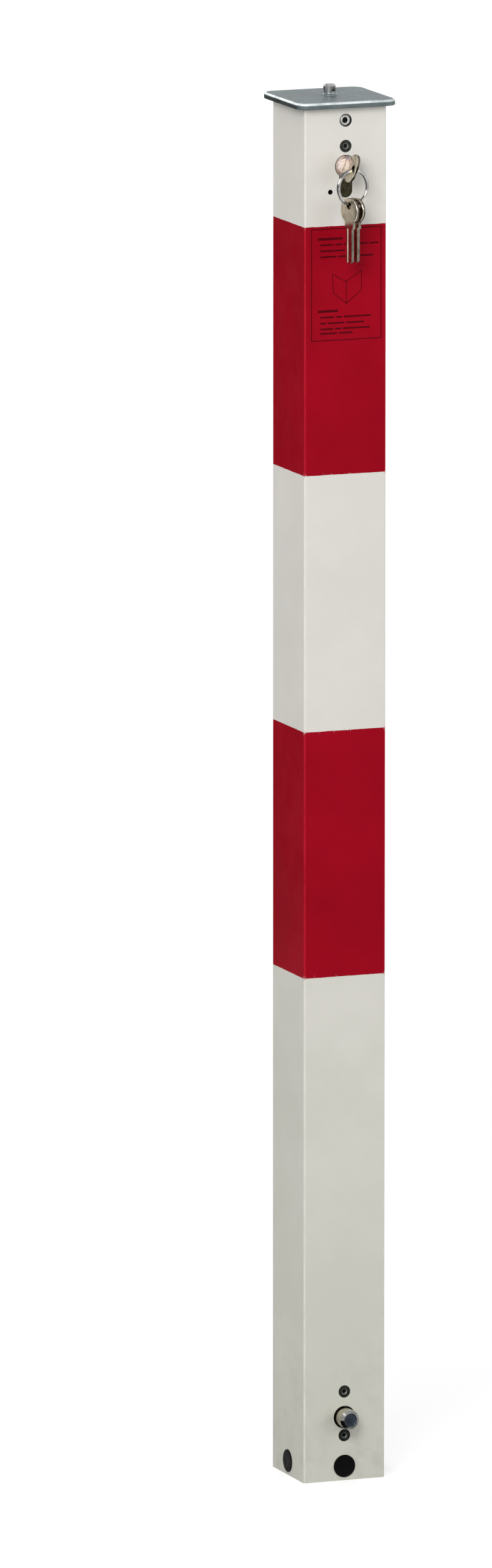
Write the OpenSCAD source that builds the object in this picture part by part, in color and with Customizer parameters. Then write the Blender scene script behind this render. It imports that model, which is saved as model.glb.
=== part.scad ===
// Lockable barrier post: a square steel tube with red and white bands, a lifting lug on its head
// plate, a profile cylinder lock near the top and a locking bolt near the foot. The key turns a cam,
// the cam lifts a flat rod inside the tube, and a slanted slot in the rod's foot draws the bolt in.
// Millimetres, +Z up. The origin is on the tube's axis at its foot, and the lock faces -Y.

/* [Square tube] */
// Outside width of the tube
tube_w = 70; // [66:1:100]
// Wall thickness of the tube
tube_wall = 3; // [2:0.5:4]
// Length of the tube from its foot to the head plate
tube_len = 1115; // [800:5:1500]
// Outside corner radius of the tube
tube_corner_r = 1.8; // [1:0.1:3]

/* [Head plate] */
// Distance that the plate stands out past the tube on each side
plate_overhang = 7.5; // [2:0.5:15]
// Thickness of the plate
plate_t = 5; // [4:0.5:10]
// Corner radius of the plate, seen from above
plate_corner_r = 10; // [4:1:15]
// Rounding of the plate's upper edge
plate_edge_r = 2.2; // [0.5:0.1:2.5]
// Height of the square collar under the plate
collar_h = 20; // [16:1:24]
// Wall thickness of the collar
collar_wall = 6; // [5:0.5:8]
// Drop of the head screw below the tube's upper end
head_screw_drop = 10.7; // [9:0.1:12]
// Hole in the tube through which the head screw is reached
head_hole_d = 10.4; // [9.5:0.1:12]

/* [Lifting lug] */
// Diameter of the lug
lug_d = 10; // [8:0.5:16]
// Height of the lug above the plate
lug_h = 9.2; // [8:0.1:16]
// Diameter of the cross hole in the lug
lug_hole_d = 4; // [3:0.5:5]
// Height of the cross hole above the plate
lug_hole_rise = 5.4; // [5:0.1:7]
// Direction of the cross hole, counted from the lock face towards +X
lug_turn = 20; // [0:5:90]

/* [Lock] */
// Drop of the lock's axis below the tube's upper end
lock_drop = 47.5; // [47:0.5:60]
// Length of the half cylinder's housing
lock_len = 40; // [38:1:44]
// Width of the cam
cam_w = 9.6; // [8:0.1:10]
// Reach of the cam's nose from the lock's axis
cam_reach = 15; // [14:0.1:15.5]
// Diameter of the cylinder's core
plug_d = 13; // [12:0.1:14]
// Distance of the carrier screw above the lock's axis
carrier_screw_rise = 16.1; // [15:0.1:17]
// Thickness of the carrier's sheet
carrier_t = 4; // [3:0.5:5]

/* [Key] */
// Turn of the key from upright, clockwise seen from the front
key_turned = 20; // [0:1:90]
// Width of the key's bow across the blade
bow_w = 23.4; // [20:0.1:28]
// Length of the key's bow along the blade
bow_len = 19.5; // [17:0.1:20]
// Thickness of the key's bow
bow_t = 2.4; // [2:0.1:3]
// Length of the key's blade
blade_len = 27.4; // [25:0.1:29]
// Height of the key's blade
blade_h = 7.6; // [7:0.1:8.6]
// Thickness of the key's blade
blade_t = 2.2; // [2:0.1:2.6]
// Diameter of the hole in the bow
bow_hole_d = 6; // [5.5:0.1:7]

/* [Key ring] */
// Outside diameter of the ring
ring_od = 29.6; // [28:0.1:34]
// Width of the ring's wire, seen face on
ring_wire_w = 2.2; // [1.8:0.1:2.4]
// Depth of the ring's two turns together
ring_wire_t = 2.3; // [2:0.1:2.4]
// Turn of the hanging ring about the vertical, its right side towards the post
ring_yaw = 12; // [0:1:20]
// Lean of the ring to the left of the hole that it hangs from
ring_lean = 4; // [0:1:12]
// Gap at each end of the ring's wire
ring_end_gap = 0.4; // [0.2:0.1:1]
// Distance of each spare key from the ring's lowest point
spare_spread = 2.7; // [2.4:0.1:4]
// Turn of the left spare key, counted from square to the ring
spare_a_turn = 1; // [-6:1:20]
// Turn of the right spare key, counted from square to the ring
spare_b_turn = 3; // [-6:1:26]

/* [Pull rod] */
// Width of the rod
rod_w = 20; // [18:1:22]
// Thickness of the rod and of its foot plate
rod_t = 4; // [3:0.5:4]

/* [Locking bolt] */
// Height of the bolt's axis above the foot
bolt_z = 52; // [50:1:60]
// Diameter of the bolt's nose
bolt_d = 16; // [14:0.5:20]
// Step from the nose out to the guided body
bolt_step = 1; // [0.5:0.1:2]
// Travel of the bolt over the key's quarter turn
bolt_travel = 18.7; // [16:0.1:20]
// Distance that the bolt stands out of the tube
bolt_out = 14; // [12:0.5:14.5]
// Length of the bolt
bolt_len = 59.5; // [56:0.5:60]
// Gap all round between the bolt's body and its hole in the tube
bolt_hole_gap = 0.25; // [0.15:0.05:1.5]
// Diameter of the pin that the slot drives
drive_pin_d = 6; // [5:0.5:7]
// Distance of the upper housing screw from the sleeve
upper_screw_gap = 8.9; // [8:0.1:12]
// Distance of the lower housing screw from the sleeve
lower_screw_gap = 2.9; // [2.6:0.1:5]
// Wall thickness of the housing's sleeve
sleeve_wall = 3; // [2.5:0.1:5]
// Wire thickness of the bolt's spring
spring_wire = 1.3; // [1:0.1:1.6]
// Number of turns of the bolt's spring
spring_turns = 7; // [5:1:9]

/* [Glides] */
// Diameter of the four plastic glides
glide_d = 18.3; // [16:0.1:20]
// Height of the glides' centres above the foot
glide_z = 11.8; // [11:0.1:20]
// Distance that the glides stand out of the tube
glide_out = 1; // [0.5:0.1:2]

/* [Hidden] */
$fn = 48;

// Clearances: a running fit on the radius, a loose fit on each side, and a push fit
run_gap = 0.08;
side_gap = 0.3;
push_gap = 0.05;
// Overlap of a cutting shape past the surface that it cuts
cut = 1;

// Square tube
half_w = tube_w / 2;
inner_half = half_w - tube_wall;
inner_corner_r = 0.8;
front_y = -half_w;
inner_y = -inner_half;

// Head
collar_half = inner_half - side_gap;
plate_half = half_w + plate_overhang;
head_z = tube_len;
head_screw_z = head_z - head_screw_drop;
head_screw_recess = 0.8;
cap_head_d = 8.5;
cap_head_h = 5;
cap_hex = 4;
cap_chamfer = 0.5;
cap_hex_depth = 2.6;
head_screw_len = 8;
collar_seat_y = front_y + head_screw_recess + cap_head_h;
collar_corner_r = 1.5;
collar_inner_r = 2;
plate_lower_edge = 0.4;

// M5 screws
screw_d = 5;
socket_bevel = 0.8;
flat_head_d = 10;
flat_head_h = 2.7;
flat_hex = 3;
flat_screw_len = 12;
flat_hex_depth = 2;
flat_head_rim = 0.3;
flat_head_sunk = 0.1;
screw_point = 0.6;

// Half cylinder of the Euro profile
profile_r = 8.5;
profile_web = 10;
profile_h = 33;
lock_z = head_z - lock_drop;
lock_rear = 5.2;
lock_back_y = front_y + lock_len;
cam_y0 = lock_back_y - lock_rear - cam_w;
cam_y1 = cam_y0 + cam_w;
cam_ring_r = profile_r - 0.1;
cam_nose_r = 3;
cam_arm = cam_reach - cam_nose_r;
cam_start = 45;
key_sweep = 90;
web_top = -10.2;
face_bevel = 0.45;
journal_d = 9.3;
cam_seat_d = 11;
cam_seat_flats = 9.4;
clip_t = 0.9;
clip_groove_d = 7.6;
clip_y = lock_back_y + 0.5;
clip_play = 0.1;
plug_end_y = lock_back_y + 2.4;
cam_seat_len = 2;
lock_screw_z = lock_z - 16;
lock_screw_y = (cam_y0 + cam_y1) / 2;
aperture_gap = 0.6;
drilled_hole_d = 4;
drilled_hole_at = [-13, lock_z - 20.2];

// Lift of the rod: the cam's chord spread evenly over the key's sweep
lift_per_deg = 2 * cam_arm * sin(cam_start) / key_sweep;
lift_low = -lift_per_deg * key_turned;
lift_high = lift_per_deg * (key_sweep - key_turned);
slot_gain = bolt_travel / (lift_high - lift_low);
nose_z = lock_z - cam_arm * sin(cam_start) - lift_low;

// Bolt's guided body and the housing's sleeve round it
body_d = bolt_d + 2 * bolt_step;
sleeve_d = body_d + 2 * (run_gap + sleeve_wall);

// Rod, clear of the lock's cylinder, with its foot plate clear of the sleeve
rod_gap = 0.5;
rod_x1 = -max(profile_r + rod_gap, sleeve_d / 2 + rod_gap - rod_t);
rod_x0 = rod_x1 - rod_t;
rod_y0 = (cam_y0 + cam_y1) / 2 - rod_w / 2;
rod_y1 = rod_y0 + rod_w;
rod_top = lock_z + 27;
// The window clears the cam's arm, which slants through the rod's thickness as it turns
function arm_need(a) = let (
    past = cam_arm * cos(a) + rod_x1,
    lead = cam_arm * sin(a) - lift_per_deg * a
) past > 0 ? past * tan(a) + cam_nose_r / cos(a) - lead : cam_nose_r;
cam_play = 0.45;
window_half_h = max([for (a = [0:5:cam_start]) arm_need(a)]) + cam_play;
window_gap = 0.6;
plate_x1 = rod_x0;
plate_x0 = plate_x1 - rod_t;
rod_bottom = bolt_z + 44;
rivet_zs = [rod_bottom + 8, rod_bottom + 25];
slot_plate_top = rod_bottom + 34;
rivet_d = 5;
rivet_head_d = 9;
rivet_head_h = 1.6;

// Bolt, housing and spring
bolt_y0 = front_y - bolt_out;
bolt_y1 = bolt_y0 + bolt_len;
bolt_chamfer = 2.4;
pin_y = front_y + 23;
pin_gap = 0.15;
spring_bore_d = 10.4;
spring_bore_y = pin_y + drive_pin_d / 2 + 2;
flange_t = 6;
flange_margin = 9;
flange_half_w = sleeve_d / 2 + side_gap;
housing_end_t = 4;
bolt_end_gap = 1;
sleeve_end = bolt_y1 + slot_gain * lift_high + bolt_end_gap;
// The step stays behind the tube's face when the bolt is furthest out
step_y = front_y - slot_gain * lift_low + side_gap;
spring_end_gap = 0.1;
spring_r = (spring_bore_d - spring_wire) / 2 - 0.25;
slot_margin = 5.5;
slot_side = drive_pin_d / 2 + pin_gap;
slot_slack = 0.5;
pin_groove_d = drive_pin_d - 1.6;
pin_clip_x = plate_x0 - side_gap - clip_t;
housing_slot_gap = 0.2;
housing_screw_zs = [bolt_z + sleeve_d / 2 + upper_screw_gap, bolt_z - sleeve_d / 2 - lower_screw_gap];

// Glides
glide_stem_d = glide_d - 6;
glide_lip = 0.4;
glide_tip = 2;

// Guide for the rod, above the slot plate's highest place
guide_t = 3;
guide_z = rod_bottom + 69;
guide_leg = 18;
guide_margin = 6;
guide_lip = 5;

// Key and ring, counted from the front of the lock
bow_y = -14.8;
bow_edge = 0.4;
bow_hole_y = -18.8;
neck_w = 11;
blade_gap = 0.15;
blade_start = -0.4;
groove_t = 0.55;
ring_r = (ring_od - ring_wire_w) / 2;
ring_slack = 1;
ring_drop = (bow_hole_d - ring_wire_w) / 2 - ring_slack;
ring_y = front_y + bow_hole_y;
ring_top = [-ring_drop * sin(key_turned), ring_y, lock_z - ring_drop * cos(key_turned)];
// Horizontal direction in the ring's plane, and the ring's centre below the hole that it hangs from
ring_side = [cos(ring_yaw), sin(ring_yaw), 0];
ring_centre = ring_top - ring_r * (sin(ring_lean) * ring_side + [0, 0, cos(ring_lean)]);
ring_chamfer = 0.3;
turn_groove = 0.2;

// Colours of the real surfaces
white = [0.86, 0.85, 0.82];
zinc = [0.62, 0.64, 0.61];
nickel = [0.75, 0.72, 0.69];
black = [0.06, 0.06, 0.06];
steel = [0.5, 0.5, 0.5];

// A flat outline in X and Z made solid from y0 to y1
module prism_y(y0, y1) {
    translate([0, y1, 0]) rotate([90, 0, 0]) linear_extrude(y1 - y0) children();
}

// A flat outline in Y and Z made solid from x0 to x1
module prism_x(x0, x1) {
    translate([x0, 0, 0]) rotate([90, 0, 90]) linear_extrude(x1 - x0) children();
}

module rod_along_y(d, y0, y1, x = 0, z = 0) {
    translate([x, y1, z]) rotate([90, 0, 0]) cylinder(d = d, h = y1 - y0);
}

module rod_along_x(d, x0, x1, y, z) {
    translate([x0, y, z]) rotate([0, 90, 0]) cylinder(d = d, h = x1 - x0);
}

module box(x, y, z) {
    translate([x[0], y[0], z[0]]) cube([x[1] - x[0], y[1] - y[0], z[1] - z[0]]);
}

module rect(x, y) {
    translate([x[0], y[0]]) square([x[1] - x[0], y[1] - y[0]]);
}

module round_square(half, r) {
    square([2 * half, 2 * (half - r)], center = true);
    square([2 * (half - r), 2 * half], center = true);
    for (x = [-1, 1], y = [-1, 1])
        translate([x * (half - r), y * (half - r)]) circle(r = r);
}

// A straight slot between two points
module slot_between(a, b, r) {
    d = b - a;
    translate(a) circle(r = r);
    translate(b) circle(r = r);
    translate(a) rotate(atan2(d[1], d[0])) translate([0, -r]) square([norm(d), 2 * r]);
}

// Outline of the lock's housing, grown by a gap
module euro_profile(gap = 0) {
    foot = profile_h - profile_r - profile_web / 2;
    circle(r = profile_r + gap);
    translate([-profile_web / 2 - gap, -foot]) square([profile_web + 2 * gap, foot]);
    translate([0, -foot]) circle(r = profile_web / 2 + gap);
}

// Turns a shape that points up so that it points out of the lock face
module out_of_front(z) {
    translate([0, front_y, z]) rotate([90, 0, 0]) children();
}

// Hexagon socket below z = 0, with a bevel round its mouth
module hex_socket(width, depth) {
    translate([0, 0, -depth]) cylinder(d = width / cos(30), h = depth + cut, $fn = 6);
    translate([0, 0, -socket_bevel])
        cylinder(r1 = width / 2, r2 = width / 2 + socket_bevel + cut, h = socket_bevel + cut);
}

module countersunk_screw() {
    r = screw_d / 2;
    difference() {
        rotate_extrude() polygon([
            [0, -flat_screw_len], [r - screw_point, -flat_screw_len],
            [r, -flat_screw_len + screw_point], [r, -flat_head_h],
            [flat_head_d / 2, -flat_head_rim], [flat_head_d / 2, -flat_head_sunk], [0, -flat_head_sunk]
        ]);
        translate([0, 0, -flat_head_sunk]) hex_socket(flat_hex, flat_hex_depth);
    }
}

module countersink() {
    r = screw_d / 2 + push_gap;
    head_r = flat_head_d / 2 + push_gap;
    rotate_extrude() polygon([
        [0, -flat_screw_len - cut], [r, -flat_screw_len - cut], [r, -flat_head_h],
        [head_r, -flat_head_rim], [head_r, cut], [0, cut]
    ]);
}

module cap_screw(length) {
    r = cap_head_d / 2;
    difference() {
        union() {
            rotate_extrude() polygon([
                [0, 0], [r, 0], [r, cap_head_h - cap_chamfer], [r - cap_chamfer, cap_head_h], [0, cap_head_h]
            ]);
            translate([0, 0, -length]) cylinder(d = screw_d, h = length + cap_chamfer);
        }
        translate([0, 0, cap_head_h]) hex_socket(cap_hex, cap_hex_depth);
    }
}

// Square tube with its openings for the lock, the bolt, the screws and the glides
module post_tube() {
    color(white) difference() {
        linear_extrude(tube_len) difference() {
            round_square(half_w, tube_corner_r);
            round_square(inner_half, inner_corner_r);
        }
        prism_y(front_y - cut, inner_y + cut)
            translate([0, lock_z]) euro_profile(aperture_gap);
        rod_along_y(head_hole_d, front_y - cut, inner_y + cut, 0, head_screw_z);
        rod_along_y(drilled_hole_d, front_y - cut, inner_y + cut, drilled_hole_at[0], drilled_hole_at[1]);
        rod_along_y(body_d + 2 * bolt_hole_gap, front_y - cut, inner_y + cut, 0, bolt_z);
        out_of_front(lock_z + carrier_screw_rise) countersink();
        for (z = housing_screw_zs) out_of_front(z) countersink();
        for (a = [0:90:270]) rotate(a)
            rod_along_y(glide_stem_d + 2 * push_gap, front_y - cut, inner_y + cut, 0, glide_z);
    }
}

// Square plate with a soft upper edge
module head_plate() {
    steps = 6;
    skin = 0.01;
    low = plate_lower_edge;
    color(zinc) translate([0, 0, head_z]) hull() {
        translate([0, 0, low]) linear_extrude(plate_t - plate_edge_r - low)
            round_square(plate_half, plate_corner_r, $fn = 32);
        linear_extrude(skin) round_square(plate_half - low, plate_corner_r - low, $fn = 32);
        for (i = [1:steps]) {
            a = 90 * i / steps;
            in = plate_edge_r * (1 - cos(a));
            translate([0, 0, plate_t - plate_edge_r + plate_edge_r * sin(a) - skin])
                linear_extrude(skin) round_square(plate_half - in, plate_corner_r - in, $fn = 32);
        }
    }
}

// Turned stud with a weld foot, a chamfered crown and a cross hole
module lifting_lug() {
    r = lug_d / 2;
    weld = 1.6;
    crown = 1.8;
    color(zinc) translate([0, 0, head_z + plate_t]) difference() {
        rotate_extrude() polygon([
            [0, 0], [r + weld, 0], [r + 0.8 * weld, 0.45 * weld], [r + 0.25 * weld, 0.95 * weld],
            [r, 1.5 * weld], [r, lug_h - crown], [r - 0.3 * crown, lug_h - 0.45 * crown],
            [r - 0.9 * crown, lug_h], [0, lug_h]
        ]);
        rotate(lug_turn) translate([0, 0, lug_hole_rise]) rotate([90, 0, 0])
            cylinder(d = lug_hole_d, h = 2 * lug_d, center = true);
    }
}

// Square collar welded under the plate, which the head screw holds in the tube
module head_collar() {
    color(zinc) difference() {
        translate([0, 0, head_z - collar_h]) linear_extrude(collar_h) difference() {
            round_square(collar_half, collar_corner_r);
            round_square(collar_half - collar_wall, collar_inner_r);
        }
        rod_along_y(screw_d + 2 * push_gap, front_y, 0, 0, head_screw_z);
        rod_along_y(cap_head_d + 2 * side_gap, front_y, collar_seat_y, 0, head_screw_z);
    }
}

module head_screw() {
    color(nickel) translate([0, collar_seat_y, head_screw_z]) rotate([90, 0, 0]) cap_screw(head_screw_len);
}

// Folded carrier behind the front wall: it holds the cylinder and guides the rod's head
module lock_carrier() {
    back = inner_y + carrier_t;
    margin = 4;
    web_margin = 5.5;
    shelf_rise = 5;
    shelf_z = lock_z + carrier_screw_rise + shelf_rise;
    shelf_y = rod_y1 + margin;
    wide = -rod_x0 + margin;
    narrow = profile_web / 2 + web_margin;
    cheek_x = profile_web / 2 + side_gap;
    cheek_y = cam_y1 + 3;
    cheek_z = [lock_z - 26, lock_z - 10];
    color(zinc) difference() {
        union() {
            prism_y(inner_y, back) {
                rect([-wide, wide], [lock_z - profile_r, shelf_z + carrier_t]);
                rect([-narrow, narrow], [lock_z - profile_h + profile_r - shelf_rise, lock_z]);
            }
            box([-wide, wide], [inner_y, shelf_y], [shelf_z, shelf_z + carrier_t]);
            box([cheek_x, cheek_x + carrier_t], [inner_y, cheek_y], cheek_z);
        }
        prism_y(inner_y - cut, back + cut) translate([0, lock_z]) euro_profile(side_gap);
        box([rod_x0 - side_gap, rod_x1 + side_gap], [rod_y0 - side_gap, rod_y1 + side_gap],
            [shelf_z - cut, shelf_z + carrier_t + cut]);
        out_of_front(lock_z + carrier_screw_rise) countersink();
        rod_along_x(screw_d + 2 * side_gap, 0, cheek_x + carrier_t + cut, lock_screw_y, lock_screw_z);
    }
}

module carrier_screw() {
    color(black) out_of_front(lock_z + carrier_screw_rise) countersunk_screw();
}

// Housing of the half cylinder, with a pocket for the cam and a thread for its fixing screw
module cylinder_body() {
    bore_r = plug_d / 2 + run_gap;
    color(nickel) difference() {
        prism_y(front_y, lock_back_y) translate([0, lock_z]) euro_profile();
        rod_along_y(2 * bore_r, front_y - cut, cam_y0, 0, lock_z);
        out_of_front(lock_z) translate([0, 0, -face_bevel])
            cylinder(r1 = bore_r, r2 = bore_r + face_bevel + cut, h = face_bevel + cut);
        rod_along_y(journal_d + 2 * run_gap, front_y, lock_back_y + cut, 0, lock_z);
        box([-profile_r - cut, profile_r + cut], [cam_y0 - side_gap, cam_y1 + side_gap],
            [lock_z + web_top, lock_z + profile_r + cut]);
        rod_along_x(screw_d + 2 * push_gap, -profile_web, profile_web, lock_screw_y, lock_screw_z);
    }
}

module cylinder_screw() {
    head_x = profile_web / 2 + side_gap + carrier_t;
    head_r = flat_head_d / 2 - screw_point;
    head_h = 3;
    tip_x = -profile_web / 2 + 1;
    color(zinc) difference() {
        union() {
            rod_along_x(screw_d, tip_x, head_x + head_h / 2, lock_screw_y, lock_screw_z);
            rod_along_x(2 * head_r, head_x, head_x + head_h, lock_screw_y, lock_screw_z);
        }
        translate([head_x + head_h, lock_screw_y, lock_screw_z]) rotate([0, 90, 0])
            hex_socket(flat_hex, flat_hex_depth);
    }
}

// Everything on the lock's axis is drawn with the key upright and turned to its rest
module on_lock_axis() {
    translate([0, 0, lock_z]) rotate([0, key_turned, 0]) children();
}

// Section of the key's blade, grown by a gap, with a groove on each side
module blade_outline(gap = 0) {
    t = blade_t / 2 + gap;
    h = blade_h / 2 + gap;
    in = t - groove_t;
    polygon([
        [-t, -h], [t, -h],
        [t, -1.9 + gap], [in, -1.5 + gap], [in, -0.1 - gap], [t, 0.3 - gap],
        [t, h], [-t, h],
        [-t, 2.3 - gap], [-in, 1.9 - gap], [-in, 0.9 + gap], [-t, 0.5 + gap]
    ]);
}

module cylinder_plug() {
    color(nickel) on_lock_axis() difference() {
        union() {
            rod_along_y(plug_d, front_y + face_bevel, cam_y0 - side_gap);
            translate([0, front_y + face_bevel, 0]) rotate([90, 0, 0])
                cylinder(r1 = plug_d / 2, r2 = plug_d / 2 - face_bevel, h = face_bevel);
            intersection() {
                rod_along_y(cam_seat_d, cam_y0 - cam_seat_len, cam_y1);
                box([-cam_seat_flats / 2, cam_seat_flats / 2],
                    [cam_y0 - cam_seat_len, cam_y1], [-plug_d, plug_d]);
            }
            rod_along_y(journal_d, cam_y0, plug_end_y);
        }
        prism_y(front_y - cut, front_y + blade_len - blade_start) blade_outline(blade_gap);
        difference() {
            rod_along_y(journal_d + cut, clip_y, clip_y + clip_t + clip_play);
            rod_along_y(clip_groove_d, clip_y - cut, clip_y + clip_t + cut);
        }
    }
}

// Cam on the core's flats: its nose points down to the left when the key is upright
module lock_cam() {
    seat = push_gap;
    color(zinc) on_lock_axis() difference() {
        prism_y(cam_y0, cam_y1) {
            circle(r = cam_ring_r);
            rotate(180 + cam_start) translate([0, -cam_nose_r]) square([cam_arm, 2 * cam_nose_r]);
            rotate(180 + cam_start) translate([cam_arm, 0]) circle(r = cam_nose_r);
        }
        intersection() {
            rod_along_y(cam_seat_d + 2 * seat, cam_y0 - cut, cam_y1 + cut);
            box([-cam_seat_flats / 2 - seat, cam_seat_flats / 2 + seat],
                [cam_y0 - cut, cam_y1 + cut], [-plug_d, plug_d]);
        }
    }
}

// Spring clip in the groove of the core's end, open towards one side
module plug_clip() {
    y = clip_y + clip_play / 2;
    mouth = 4.4;
    color(steel) on_lock_axis() prism_y(y, y + clip_t) difference() {
        circle(d = journal_d + 4.2);
        circle(d = clip_groove_d + 2 * push_gap);
        translate([0, -mouth / 2]) square([journal_d, mouth]);
    }
}

// Oval bow with bevelled edges: two discs above each other and what lies between them
module key_bow() {
    r = bow_len / 2;
    t = bow_t / 2;
    e = bow_edge;
    rise = bow_w / 2 - r;
    for (side = [-1, 1]) translate([0, bow_y, side * rise]) rotate([0, 90, 0]) rotate_extrude($fn = 96)
        polygon([[0, -t], [r - e, -t], [r, e - t], [r, t - e], [r - e, t], [0, t]]);
    translate([0, bow_y, -rise]) linear_extrude(2 * rise) polygon([
        [-t, e - r], [e - t, -r], [t - e, -r], [t, e - r], [t, r - e], [t - e, r], [e - t, r], [-t, r - e]
    ]);
}

// Key with an oval bow: the shoulder is at y = 0, the blade points along +Y
module key_shape() {
    t = bow_t / 2;
    end = blade_start + blade_len;
    tip_cut = 2.4;
    dimple_d = 1.8;
    dimple_pitch = 4;
    dimple_start = 4.5;
    dimple_z = 2.6;
    dimple_depths = [0.35, 0.55, 0.25, 0.5, 0.35];
    difference() {
        union() {
            key_bow();
            box([-t, t], [bow_y, blade_start], [-neck_w / 2, neck_w / 2]);
            prism_y(blade_start - 1, end) blade_outline();
        }
        rod_along_x(bow_hole_d, -bow_t, bow_t, bow_hole_y, 0);
        for (side = [-1, 1])
            translate([0, end, side * blade_h / 2]) rotate([45, 0, 0])
                cube([bow_t * 2, tip_cut, tip_cut], center = true);
        for (i = [0:4]) rod_along_x(dimple_d, blade_t / 2 - dimple_depths[i], bow_t,
            dimple_start + dimple_pitch * i, dimple_z);
    }
}

module key() {
    color(nickel) on_lock_axis() translate([0, front_y, 0]) key_shape();
}

// Split ring: two turns of flat wire against each other, with an end of the wire on each face
module key_ring() {
    w = ring_wire_w / 2;
    t = ring_wire_t / 2;
    c = ring_chamfer;
    g = turn_groove;
    front_end = 250;
    back_end = 275;
    color(nickel) translate(ring_centre) rotate(ring_yaw) rotate([90, 0, 0]) difference() {
        rotate_extrude($fn = 96) translate([ring_r, 0]) polygon([
            [w - c, -t], [w, -t + c], [w, -g], [w - g, 0], [w, g], [w, t - c], [w - c, t],
            [c - w, t], [-w, t - c], [-w, g], [g - w, 0], [-w, -g], [-w, -t + c], [c - w, -t]
        ]);
        for (end = [[front_end, 0], [back_end, -t - cut]])
            rotate(end[0]) translate([ring_r - w - cut, -ring_end_gap / 2, end[1]])
                cube([ring_wire_w + 2 * cut, ring_end_gap, t + cut]);
    }
}

// A spare key hangs with its blade down from the ring's wire, beside the lowest point
module spare_key(side, turn) {
    x = side * spare_spread;
    wire_z = ring_centre[2] - sqrt(ring_r * ring_r - x * x);
    hole = [ring_centre[0], ring_centre[1], wire_z - ring_drop] + x * ring_side;
    color(nickel) translate(hole) rotate(ring_yaw + turn) rotate([-90, 0, 0])
        translate([0, -bow_hole_y, 0]) key_shape();
}

module spare_key_a() { spare_key(-1, spare_a_turn); }

module spare_key_b() { spare_key(1, spare_b_turn); }

// Flat rod: the cam's nose works in the window near its head
module pull_rod() {
    color(zinc) prism_x(rod_x0, rod_x1) difference() {
        rect([rod_y0, rod_y1], [rod_bottom, rod_top]);
        rect([cam_y0 - window_gap, cam_y1 + window_gap], [nose_z - window_half_h, nose_z + window_half_h]);
        for (z = rivet_zs) translate([(rod_y0 + rod_y1) / 2, z]) circle(d = rivet_d + 2 * push_gap);
    }
}

// Place of the drive pin in the slot plate when the rod has lifted by a distance
function pin_at(lift) = [pin_y + slot_gain * lift, bolt_z - lift];

// Foot plate of the rod, with the slanted slot that moves the bolt
module slot_plate() {
    low = pin_at(lift_high + slot_slack);
    high = pin_at(lift_low - slot_slack);
    toe = 6;
    heel = 4;
    shoulder = 14;
    y0 = high[0] - slot_margin - slot_side + 1;
    y1 = low[0] + slot_margin + slot_side;
    z0 = low[1] - slot_margin - slot_side;
    z1 = high[1] + slot_margin + slot_side;
    color(zinc) prism_x(plate_x0, plate_x1) difference() {
        polygon([
            [y0 + toe, z0], [y1 - heel, z0], [y1, z0 + heel], [y1, z1],
            [rod_y1, z1 + shoulder], [rod_y1, slot_plate_top], [rod_y0, slot_plate_top],
            [rod_y0, z1 + shoulder], [y0, z1], [y0, z0 + toe]
        ]);
        slot_between(low, high, slot_side);
        for (z = rivet_zs) translate([(rod_y0 + rod_y1) / 2, z]) circle(d = rivet_d + 2 * push_gap);
    }
}

module rod_rivets() {
    y = (rod_y0 + rod_y1) / 2;
    color(zinc) for (z = rivet_zs) {
        rod_along_x(rivet_d, plate_x0 - rivet_head_h / 2, rod_x1 + rivet_head_h / 2, y, z);
        rod_along_x(rivet_head_d, plate_x0 - rivet_head_h, plate_x0, y, z);
        rod_along_x(rivet_head_d, rod_x1, rod_x1 + rivet_head_h, y, z);
    }
}

// Folded bracket on the left wall, through which the rod slides
module rod_guide() {
    color(zinc) difference() {
        prism_y(rod_y0 - guide_margin, rod_y1 + guide_margin) {
            rect([-inner_half, -inner_half + guide_t], [guide_z - guide_leg, guide_z]);
            rect([-inner_half, rod_x1 + guide_lip], [guide_z, guide_z + guide_t]);
        }
        box([rod_x0 - side_gap, rod_x1 + side_gap], [rod_y0 - side_gap, rod_y1 + side_gap],
            [guide_z - cut, guide_z + guide_t + cut]);
    }
}

// Sleeve with a flange that the two screws hold against the front wall
module bolt_housing() {
    zs = housing_screw_zs;
    color(zinc) difference() {
        union() {
            box([-flange_half_w, flange_half_w], [inner_y, inner_y + flange_t],
                [zs[1] - flange_margin, zs[0] + flange_margin]);
            rod_along_y(sleeve_d, inner_y, sleeve_end + housing_end_t, 0, bolt_z);
        }
        rod_along_y(body_d + 2 * run_gap, inner_y - cut, sleeve_end, 0, bolt_z);
        for (z = zs) out_of_front(z) countersink();
        prism_x(-sleeve_d, 0) slot_between(
            [pin_at(lift_low)[0] - slot_slack, bolt_z], [pin_at(lift_high)[0] + slot_slack, bolt_z],
            slot_side + housing_slot_gap);
    }
}

module housing_screws() {
    color(black) for (z = housing_screw_zs) out_of_front(z) countersunk_screw();
}

// Round bolt: a chamfered, slightly hollow nose, then the guided body with a bore for the spring
module locking_bolt() {
    r = bolt_d / 2;
    body_r = body_d / 2;
    c = bolt_chamfer;
    rim = 0.5;
    step = step_y - bolt_y0;
    color(nickel) difference() {
        translate([0, bolt_y0, bolt_z]) rotate([-90, 0, 0]) rotate_extrude() polygon([
            [0, rim + 0.2], [r - c - 2 * rim, rim], [r - c - rim, 0], [r - c, 0], [r, c],
            [r, step], [body_r - rim, step], [body_r, step + rim],
            [body_r, bolt_len - rim], [body_r - rim, bolt_len], [0, bolt_len]
        ]);
        rod_along_y(spring_bore_d, spring_bore_y, bolt_y1 + cut, 0, bolt_z);
        rod_along_x(drive_pin_d + 2 * push_gap, -body_d, body_d, pin_y, bolt_z);
    }
}

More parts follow.
